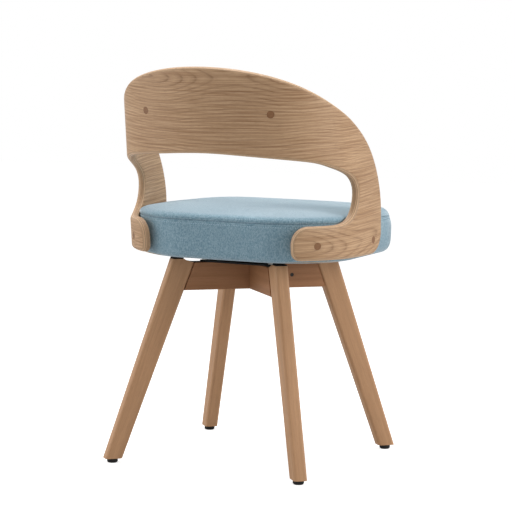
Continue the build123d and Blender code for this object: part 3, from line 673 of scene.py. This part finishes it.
def oak_veneer(shell):
    """Veneered faces and, between them round every edge, the stacked plies."""
    look = Finish("oak_veneer_on_ply", Roughness=0.5, Specular_IOR_Level=0.35)
    along, _, depth = look.split(look.sheet())
    _, y, z = look.split(look.place())
    # The sheet leans, so its grain rises a little towards the front of the arms
    rise = look.plus(look.times(y, 0.5 * sin(SHELL_LEAN)), z)
    sheet = look.add("CombineXYZ", {"X": along, "Y": rise, "Z": depth})

    # Growth rings round two hearts, one along the top of the back and one along the lobes: close
    # straight lines between them and long pointed figures where a heart lies in the face
    sway = look.grain(sheet, (3.2, 5.0, 5.0), detail=2.0)
    sway = look.times(look.math("SUBTRACT", sway, 0.5), 0.055)
    level = look.plus(rise, sway)
    hearts = [look.math("ABSOLUTE", look.math("SUBTRACT", level, heart)) for heart in HEART_LEVELS]
    reach = look.math("MINIMUM", *hearts)
    cut = look.grain(sheet, (2.1, 2.0, 2.0), detail=1.0)
    cut = look.times(look.math("SUBTRACT", cut, 0.45), 0.20)
    forward = look.math("SUBTRACT", look.math("ABSOLUTE", along), CUT_START)
    cut = look.plus(cut, look.times(look.math("MAXIMUM", forward, 0.0), CUT_SLOPE))
    squares = [look.times(part, part) for part in (reach, cut)]
    radius = look.math("POWER", look.plus(*squares), 0.5)
    fray = look.grain(sheet, (9.0, 260.0, 260.0))
    radius = look.plus(radius, look.times(fray, 0.0014))
    ring = look.math("FRACT", look.math("DIVIDE", radius, RING_PITCH))
    line = look.ramp(ring, (0.0, 0.9), (0.12, 0.25), (0.5, 0.0), (0.82, 0.35), (1.0, 0.9))
    presence = streaks(look, sheet, 0.20, 0.006, 0.36, 0.62)
    line = look.times(line, look.plus(look.times(presence, 0.8), 0.2))

    pale = toned(shell.veneer, (1.48, 1.62, 1.82))
    brown = toned(shell.veneer, (0.70, 0.60, 0.52))
    broad = streaks(look, sheet, 0.32, 0.0075, 0.36, 0.64)
    fine = streaks(look, sheet, 0.13, 0.0018, 0.42, 0.60, detail=4.0)
    pores = streaks(look, sheet, 0.014, 0.0006, 0.56, 0.68, detail=2.0)
    face = look.tint(shell.veneer, broad, 0.60, brown)
    face = look.tint(face, fine, 0.68, pale)
    face = look.tint(face, line, 0.86, shell.latewood)
    face = look.tint(face, pores, 0.45, shell.latewood)

    # Plies by turns along and across the grain, dark glue between them, browner in the middle as
    # painted shade, so the plies near both faces read as painted highlights
    layer = look.plus(look.math("DIVIDE", depth, PLY), 0.5)
    parity = look.math("MODULO", layer, 2.0)
    glue = look.ramp(look.math("FRACT", layer), (0.0, 1.0), (0.09, 0.0), (0.91, 0.0), (1.0, 1.0))
    streak = look.grain(sheet, (260.0, 260.0, 60.0))
    long_ply = look.mix(streak, toned(shell.ply, 0.88), toned(shell.ply, 1.12))
    end_ply = look.mix(streak, toned(shell.ply, 0.50), toned(shell.ply, 0.66))
    stack = look.mix(look.ramp(parity, (0.499, 0.0), (0.501, 1.0)), long_ply, end_ply)
    stack = look.tint(stack, glue, 0.7, shell.latewood)
    share = look.math("DIVIDE", depth, SHELL_THICKNESS * MM)
    # Painted shade: the middle of the ply stack is browned, leaving pale painted highlights near
    # both faces
    middle = look.ramp(share, (0.38, 0.0), (0.48, 1.0), (0.68, 1.0), (0.78, 0.0))
    stack = look.tint(stack, middle, 0.45, brown)
    inner = look.math("LESS_THAN", depth, SHELL_THICKNESS * MM - FACE_PLY)
    outer = look.math("GREATER_THAN", depth, FACE_PLY)
    colour = look.mix(look.times(inner, outer), face, stack)
    bump = look.relief(look.math("SUBTRACT", pores, line), 0.00008, 0.5)
    return look.finish(Base_Color=colour, Normal=bump)


def straight_wood(name, direction, wood, dark):
    """Solid straight-grained wood whose grain follows a direction."""
    look = Finish(name, Roughness=0.5, Specular_IOR_Level=0.3)
    turn = Vector(direction).rotation_difference(Vector((1, 0, 0))).to_euler()
    local = look.add("Mapping", {"Vector": look.place(), "Rotation": tuple(turn)})
    broad = streaks(look, local, 0.30, 0.012, 0.34, 0.66)
    fine = streaks(look, local, 0.06, 0.0015, 0.36, 0.64, detail=4.0)
    flecks = streaks(look, local, 0.012, 0.0007, 0.55, 0.70, detail=2.0)
    colour = look.tint(wood, fine, 0.5, toned(wood, 1.22))
    colour = look.tint(colour, broad, 0.42, dark)
    colour = look.tint(colour, flecks, 0.35, dark)
    return look.finish(Base_Color=colour, Normal=look.relief(fine, 0.00005, 0.5))


def end_grain(tone):
    """Plugs: darker end grain with fine pores."""
    look = Finish("plug_end_grain", Roughness=0.5)
    ring = look.grain(look.place(), 300.0, detail=4.0)
    colour = look.mix(ring, toned(tone, 0.75), toned(tone, 1.3))
    return look.finish(Base_Color=colour, Normal=look.relief(ring, 0.0001, 0.6))


def woven_cloth(cloth):
    """Plain weave of mixed light and dark blue fibres, laid out in the piece's flat coordinates."""
    look = Finish("light_blue_weave", Roughness=0.92, Sheen_Weight=0.62, Sheen_Roughness=0.42,
                  Sheen_Tint=(0.94, 0.97, 1.0), Specular_IOR_Level=0.25)
    sheet = look.sheet()
    x, y, z = look.split(sheet)
    wave = pi / cloth.thread_pitch
    warp = look.math("SINE", look.times(x, wave))
    weft = look.math("SINE", look.times(look.plus(z, y), wave))
    over = look.math("MULTIPLY_ADD", look.times(warp, weft), 0.5, 0.5)
    weave = look.ramp(over, (0.0, 0.0), (0.35, 0.6), (0.65, 1.0), (1.0, 0.35))
    slub = look.grain(sheet, (420.0, 420.0, 80.0), rough=0.7)
    fleck = look.grain(sheet, (430.0, 430.0, 260.0), detail=2.0, rough=0.75)
    cloud = look.grain(sheet, 14.0)
    mixed = look.mix(look.ramp(fleck, (0.40, 0.0), (0.60, 1.0)), cloth.shade, cloth.fleck)
    colour = look.mix(0.55, cloth.yarn, mixed)
    colour = look.tint(colour, look.ramp(slub, (0.4, 0.0), (0.75, 1.0)), 0.35, cloth.fleck)
    colour = look.tint(colour, look.ramp(cloud, (0.3, 1.0), (0.7, 0.0)), 0.22, cloth.shade)
    colour = look.tint(colour, look.ramp(weave, (0.0, 1.0), (0.5, 0.0)), 0.35, cloth.shade)
    bump = look.relief(weave, 0.00035, 0.6, Normal=look.relief(fleck, 0.0003, 0.5))
    return look.finish(Base_Color=colour, Normal=bump)


def sewing_thread(cloth):
    """Twisted thread, a little lighter than the cloth."""
    look = Finish("sewing_thread", Roughness=0.6, Sheen_Weight=0.3)
    twist = look.grain(look.place(), 900.0, detail=2.0)
    colour = look.mix(twist, cloth.yarn, toned(cloth.fleck, 1.6))
    return look.finish(Base_Color=colour)


def fine_surface(name, tone, roughness, metallic=0.0, scale=900.0, depth=0.00005):
    """Powder coat, moulded plastic or plated steel: a faint grain in tone, gloss and relief."""
    look = Finish(name, Metallic=metallic, Specular_IOR_Level=0.3)
    place = look.place()
    grain = look.grain(place, scale, detail=2.0)
    cloud = look.grain(place, 30.0)
    colour = look.mix(cloud, toned(tone, 0.8), toned(tone, 1.2))
    rough = look.ramp(cloud, (0.3, roughness - 0.06), (0.7, roughness + 0.06))
    return look.finish(Base_Color=colour, Roughness=rough, Normal=look.relief(grain, depth, 0.5))


def dust_cloth():
    """Thin black non-woven cloth under the seat."""
    look = Finish("dust_cloth", Roughness=0.95, Sheen_Weight=0.2)
    felt = look.grain(look.place(), 600.0, detail=4.0, rough=0.8)
    colour = look.mix(felt, by_axis(0.006), by_axis(0.02))
    return look.finish(Base_Color=colour, Normal=look.relief(felt, 0.0003, 0.7))


def pale_floor():
    """White floor that keeps the chair's soft shadow and otherwise shows white to the camera."""
    look = Finish("pale_floor", Roughness=0.9, Specular_IOR_Level=0.0)
    cloud = look.grain(look.place(), 2.0, detail=1.0)
    colour = look.mix(cloud, by_axis(0.66), by_axis(0.68))
    lift = look.times(look.add("LightPath", {}, "Is Camera Ray"), FLOOR_LIFT)
    return look.finish(Base_Color=colour, Emission_Color=WHITE, Emission_Strength=lift)


# ---- fitting pieces in the frame
def linked(name, data):
    """A new object in the scene."""
    made = bpy.data.objects.new(name, data)
    bpy.context.scene.collection.objects.link(made)
    return made


def aimed(name, data, place, aim, roll=0.0):
    """A new camera or lamp, turned from its place towards its aim."""
    made = linked(name, data)
    made.location = place
    made.rotation_mode = "QUATERNION"
    look = (Vector(aim) - Vector(place)).to_track_quat("-Z", "Y")
    made.rotation_quaternion = look @ Quaternion((0, 0, 1), roll)
    return made


def places(piece):
    """Where a piece's points are, in metres."""
    return np.array([v.co[:] for v in piece.data.vertices])


def move_points(piece, targets):
    for vertex, target in zip(piece.data.vertices, targets):
        vertex.co = target


def cover(material, *names):
    """Give CAD nodes a material, leaving their meshes alone."""
    for name in names:
        for slot in bpy.data.objects[name].material_slots:
            slot.material = material


def dress(piece, material, body):
    """Material and body of a new piece."""
    piece.data.materials.append(material)
    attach(piece, body)


def inflate(piece, loose, filling):
    """Let the filling push a piece's loose points out as cloth."""
    start = places(piece)
    pins = piece.vertex_groups.new(name="sewn")
    for index, share in enumerate(loose):
        pins.add([index], 1.0 - share, "REPLACE")
    cloth = piece.modifiers.new("cloth", "CLOTH")
    for option, value in CLOTH_SETTINGS.items():
        setattr(cloth.settings, option, value)
    cloth.settings.vertex_group_mass = pins.name
    cloth.settings.uniform_pressure_force = filling.pressure
    cloth.settings.effector_weights.gravity = 0.0
    cloth.point_cache.frame_end = CLOTH_FRAMES
    for number in range(1, CLOTH_FRAMES + 1):
        bpy.context.scene.frame_set(number)
    moved = places(piece.evaluated_get(bpy.context.evaluated_depsgraph_get())) - start
    piece.modifiers.remove(cloth)
    piece.vertex_groups.remove(pins)
    bpy.context.scene.frame_set(1)
    far, cap = norm(moved, axis=1), filling.swell
    moved *= (cap * np.tanh(far / cap) / np.maximum(far, 1e-9))[:, None]
    move_points(piece, start + moved)


def stitch_row(name, piece, starts, ends, thread):
    """Stitches laid on a piece where lines from starts to ends meet it, one per gap between two."""
    hits = []
    for start, end in zip(starts, ends):
        found, where, out, _ = piece.ray_cast(start, (end - start).normalized())
        hits.append((where, out) if found else None)
    form = bmesh.new()
    thickness, sides = THREAD_THICKNESS * MM, 6
    for first, second in zip(hits, hits[1:] + hits[:1]):
        if not first or not second or (first[0] - second[0]).length > LONGEST_STITCH * MM:
            continue
        along = (second[0] - first[0]).normalized()
        out = (first[1] + second[1]).normalized()
        side = along.cross(out).normalized()
        rings = []
        for place, size, lift in STITCH_RINGS:
            share = (1 - STITCH_SHARE) / 2 + STITCH_SHARE * place
            centre = first[0].lerp(second[0], share) + out * thickness * lift
            rings.append([
                form.verts.new(centre + (side * cos(t) + out * sin(t)) * thickness / 2 * size)
                for t in (2 * pi * k / sides for k in range(sides))
            ])
        for low, high in zip(rings, rings[1:]):
            for k in range(sides):
                form.faces.new((low[k], low[(k + 1) % sides], high[(k + 1) % sides], high[k]))
        form.faces.new(rings[0][::-1])
        form.faces.new(rings[-1])
    bmesh.ops.recalc_face_normals(form, faces=form.faces)
    mesh = bpy.data.meshes.new(name)
    form.to_mesh(mesh)
    form.free()
    mesh.shade_smooth()
    dress(linked(name, mesh), thread, SEAT_BODY)


def smooth_share(values, low, high):
    """0 below low, 1 above high and a soft rise between."""
    t = np.clip((np.asarray(values) - low) / (high - low), 0, 1)
    return t * t * (3 - 2 * t)


def press_by_arms(piece, outline, nose):
    """Push a padded piece's points in where the arms, whose edges have a round nose, touch it."""
    points = places(piece) / MM
    along, depth, middle, seen = off_shell(points)
    near = (depth < SHELL_THICKNESS + PRESS_REACH) & (along > PRESS_START)
    away, inside = distances(np.column_stack((along[near], points[near, 2])), outline)
    out = np.where(inside, -away, away)
    curl = nose - np.sqrt(np.maximum(nose ** 2 - np.clip(out + nose, 0, nose) ** 2, 0))
    edge_gap = EDGE_GAP * smooth_share(out, -EDGE_GAP_RUN, 0.0)
    free = np.where(out < 0, curl, nose + BULGE_SLOPE * out)
    least = SHELL_THICKNESS + CLOTH_GAP + edge_gap - free
    held, soft = depth[near], PRESS_SOFTNESS
    pressed = np.maximum(soft * np.logaddexp(held / soft, least / soft), least)
    pressed = np.where(held - least > PRESS_LIMIT, held, pressed)
    reach = norm(seen[near], axis=1)
    seen = middle[near] + seen[near] * ((reach + held - pressed) / reach)[:, None]
    points[near, 0] = np.copysign(seen[:, 0], points[near, 0])
    points[near, 1] = back_y(points[near, 2]) + seen[:, 1] / cos(SHELL_LEAN)
    move_points(piece, points * MM)


# ---- operators
class CHAIR_OT_bend_shell(Operator):
    """Bend the flat outline into the back, arms and lobes, with a round sawn edge"""

    bl_idname = "chair.bend_shell"
    bl_label = "Bend the Shell"

    def execute(self, context):
        shell = context.scene.chair_shell
        outer, inner = shell.easing / MM, shell.inner_easing / MM
        profile = []
        for t in (pi / 2 * k / OUTER_STEPS for k in range(OUTER_STEPS + 1)):
            profile.append((outer - outer * sin(t), outer - outer * cos(t)))
        for t in (pi / 2 * k / INNER_STEPS for k in range(INNER_STEPS + 1)):
            profile.append((inner - inner * cos(t), SHELL_THICKNESS - inner + inner * sin(t)))
        outline, step = shell_outline(shell.edge_step / MM), shell.face_step / MM
        holes = {"holes": plug_rings(), "hole_depth": PLUG_SINK}
        piece = closed_form("bent_shell", outline, profile, on_shell, step, **holes)
        dress(piece, oak_veneer(shell), SEAT_BODY)
        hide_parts("back_shell")
        return {"FINISHED"}


class CHAIR_OT_finish_plugs(Operator):
    """Give the plugs over the screws their end grain"""

    bl_idname = "chair.finish_plugs"
    bl_label = "Finish the Plugs"

    def execute(self, context):
        cover(end_grain(context.scene.chair_shell.plug), "back_plugs", "arm_plugs")
        return {"FINISHED"}


class CHAIR_OT_upholster_seat(Operator):
    """Make the seat cushion: boxed side, sewn seam, crowned top, pressed in by the arms"""

    bl_idname = "chair.upholster_seat"
    bl_label = "Upholster the Seat"

    def execute(self, context):
        cloth = context.scene.chair_cloth
        outline = seat_outline(OUTLINE_STEP)
        profile = [*SEAT_SIDE, *((inset, SEAM_Z + rise) for inset, rise in SEAT_TOP_EDGE)]
        crown = (SEAM_Z + cloth.crown / MM - profile[-1][1], TOP_CROWN_RUN)
        piece = closed_form("seat_cushion", outline, profile, in_space, CUSHION_STEP, crown)
        points = places(piece) / MM
        away, _ = distances(points[:, :2], outline)
        on_top = points[:, 2] > SEAM_Z + 1.0
        front = smooth_share(-points[:, 1], *FRONT_RUN)
        slope = front * smooth_share(points[:, 2], *FRONT_HEIGHTS)
        outwards = points[:, :2] - np.array((0.0, 0.5 * (SEAT_REAR + SEAT_FRONT)))
        outwards /= np.maximum(norm(outwards, axis=1), 1.0)[:, None]
        inwards = FRONT_SLOPE * slope * np.exp(-away / FRONT_REACH)
        inwards -= SEAM_FILL * front * np.exp(-((points[:, 2] - SEAM_Z) / SEAM_FILL_BAND) ** 2)
        points[:, :2] -= outwards * inwards[:, None]
        points[:, 2] -= FRONT_SINK * FRONT_SLOPE * slope * np.exp(-away / FRONT_SINK_REACH)
        move_points(piece, points * MM)
        inflate(piece, np.where(on_top, smooth_share(away, *SEAT_LOOSE), 0.0), cloth)
        nose = context.scene.chair_shell.inner_easing / MM
        press_by_arms(piece, shell_outline(ARM_LOOP_STEP), nose)
        dress(piece, woven_cloth(cloth), SEAT_BODY)
        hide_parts("seat_side_band", "seat_top_cover", "seat_foam")

        line = evenly_spaced(outline, cloth.stitch_pitch / MM)
        rings, height = (drawn_in(line, -RAY_OUT), line), SEAM_Z - STITCH_DROP
        starts, ends = ([in_space(*p, height) for p in ring] for ring in rings)
        stitch_row("seat_topstitch", piece, starts, ends, sewing_thread(cloth))
        return {"FINISHED"}


class CHAIR_OT_upholster_back(Operator):
    """Make the back pad inside the shell, with a sewn border and a soft crown"""

    bl_idname = "chair.upholster_back"
    bl_label = "Upholster the Back"

    def execute(self, context):
        cloth = context.scene.chair_cloth
        outline = pad_outline(OUTLINE_STEP)
        back = SHELL_THICKNESS + PAD_GAP
        profile = [(inset, back + level) for inset, level in PAD_EDGE]
        piece = closed_form("back_cushion", outline, profile, on_shell, CUSHION_STEP, PAD_CROWN)
        flat = np.array([a.vector[:] for a in piece.data.attributes["sheet"].data]) / MM
        away, _ = distances(flat[:, :2], outline)
        on_front = flat[:, 2] > back + PAD_SEAM_DEPTH
        inflate(piece, np.where(on_front, smooth_share(away, *PAD_LOOSE), 0.0), cloth)
        dress(piece, bpy.data.materials["light_blue_weave"], SEAT_BODY)
        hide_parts("back_pad")

        line = evenly_spaced(drawn_in(outline, PAD_STITCH_INSET), cloth.stitch_pitch / MM)
        starts, ends = ([on_shell(*p, depth) for p in line] for depth in (RAY_DEEP, 0.0))
        stitch_row("back_topstitch", piece, starts, ends, bpy.data.materials["sewing_thread"])
        return {"FINISHED"}


class CHAIR_OT_finish_base(Operator):
    """Give the legs and rails wood that runs along each of them"""

    bl_idname = "chair.finish_base"
    bl_label = "Finish the Base"

    def execute(self, context):
        base = context.scene.chair_base
        # The rails take darker, browner tones than the legs as painted shade for the shade under
        # the seat
        for angles, out, down, wood, grain in (
            (LEG_ANGLES, sin(LEG_LEAN), -cos(LEG_LEAN), base.wood, base.grain),
            (RAIL_ANGLES, 1.0, 0.0, base.rail_wood_painted_shade, base.rail_grain_painted_shade),
        ):
            for name, angle in angles.items():
                turn = radians(angle + BASE_TURN)
                direction = (cos(turn) * out, sin(turn) * out, down)
                cover(straight_wood(name + "_wood", direction, wood, grain), name)
        # The dowels take the upper rail's wood with its painted shade
        cover(bpy.data.materials["rail_upper_wood"], "leg_dowels")
        return {"FINISHED"}


class CHAIR_OT_finish_hardware(Operator):
    """Give the swivel unit, fasteners, glides and inner pieces their finishes"""

    bl_idname = "chair.finish_hardware"
    bl_label = "Finish the Hardware"

    def execute(self, context):
        zinc = fine_surface("zinc_plated_steel", (0.42, 0.42, 0.40), 0.34, metallic=1.0)
        cover(zinc, "leg_studs", "glide_nails", "lower_plate_screws", "upper_plate_screws",
              "centre_rivet", "arm_inserts", "arm_screws", "back_pad_inserts", "back_pad_screws")
        # Near-black steel for the barrel nuts, darkened past plated steel as painted shade for the
        # shade of their holes
        cover(fine_surface("oiled_steel", (0.03, 0.025, 0.02), 0.5), "barrel_nuts")
        cover(fine_surface("black_powder_coat", 0.004, 0.55, scale=2500.0),
              "swivel_lower_plate", "swivel_upper_plate")
        cover(fine_surface("moulded_black_plastic", 0.007, 0.5, scale=1500.0),
              "glides", "bearing_ring")
        cover(fine_surface("black_rubber", 0.005, 0.8, scale=700.0), "leg_top_pads", "arm_washers")
        cover(fine_surface("bare_plywood", (0.55, 0.42, 0.27), 0.7, scale=300.0, depth=0.0002),
              "seat_board", "seat_frame", "back_pad_board")
        cover(fine_surface("open_cell_foam", (0.78, 0.74, 0.55), 0.9, scale=1200.0, depth=0.0004),
              "seat_foam")
        cover(dust_cloth(), "dust_cover")
        return {"FINISHED"}


class CHAIR_OT_set_stage(Operator):
    """Set the camera where the photograph was taken, the pale floor and the soft lamps"""

    bl_idname = "chair.set_stage"
    bl_label = "Set the Stage"

    def execute(self, context):
        stage = context.scene.chair_stage
        scene = context.scene
        scene.view_settings.view_transform = "Standard"

        lens = bpy.data.cameras.new("camera")
        lens.lens = stage.lens
        lens.sensor_width = SENSOR_WIDTH
        lens.shift_x, lens.shift_y = stage.shift
        scene.camera = aimed("camera", lens, stage.eye, stage.aim, stage.roll)

        scene.world = bpy.data.worlds.new("studio")
        scene.world.use_nodes = True
        studio = Nodes(scene.world.node_tree)
        rays = [studio.add("LightPath", {}, f"Is {kind} Ray") for kind in WHITE_RAYS]
        seen = studio.math("MAXIMUM", studio.math("MAXIMUM", *rays[:2]), rays[2])
        sky = studio.tree.nodes["Background"]
        studio.feed(sky.inputs["Color"], WHITE)
        studio.feed(sky.inputs["Strength"], stage.sky)
        white = studio.add("Background", {"Color": WHITE})
        blend = studio.add("MixShader", {0: seen, 1: sky.outputs[0], 2: white})
        studio.feed(studio.tree.nodes["World Output"].inputs["Surface"], blend)

        mesh = bpy.data.meshes.new("floor")
        far = FLOOR_HALF
        corners = [(-far, -far, 0), (far, -far, 0), (far, far, 0), (-far, far, 0)]
        mesh.from_pydata(corners, [], [(0, 1, 2, 3)])
        floor = linked("floor", mesh)
        floor.data.materials.append(pale_floor())

        for name, (place, size, tone) in LAMPS.items():
            light = bpy.data.lights.new(name, "AREA")
            light.shape = "DISK"
            light.size = size
            light.energy = getattr(stage, name)
            light.color = tone
            aimed(name, light, place, stage.aim)
        return {"FINISHED"}


class CHAIR_PT_workshop(Panel):
    """Lists the steps that dress the chair, in their order"""

    bl_label = "Swivel Dining Chair"
    bl_idname = "CHAIR_PT_workshop"
    bl_space_type = "VIEW_3D"
    bl_region_type = "UI"
    bl_category = "Chair"

    def draw(self, context):
        for step in STEPS:
            self.layout.operator(step.bl_idname)


STEPS = (
    CHAIR_OT_set_stage,
    CHAIR_OT_bend_shell,
    CHAIR_OT_finish_plugs,
    CHAIR_OT_upholster_seat,
    CHAIR_OT_upholster_back,
    CHAIR_OT_finish_base,
    CHAIR_OT_finish_hardware,
)
GROUPS = {
    "chair_shell": ChairShellSettings,
    "chair_cloth": ChairClothSettings,
    "chair_base": ChairBaseSettings,
    "chair_stage": ChairStageSettings,
}


def register():
    for name, group in GROUPS.items():
        bpy.utils.register_class(group)
        setattr(bpy.types.Scene, name, PointerProperty(type=group))
    for cls in (*STEPS, CHAIR_PT_workshop):
        bpy.utils.register_class(cls)


def unregister():
    for cls in (CHAIR_PT_workshop, *reversed(STEPS)):
        bpy.utils.unregister_class(cls)
    for name, group in reversed(GROUPS.items()):
        delattr(bpy.types.Scene, name)
        bpy.utils.unregister_class(group)


def main():
    register()
    for step in STEPS:
        space, call = step.bl_idname.split(".")
        getattr(getattr(bpy.ops, space), call)()


if __name__ == "__main__":
    main()
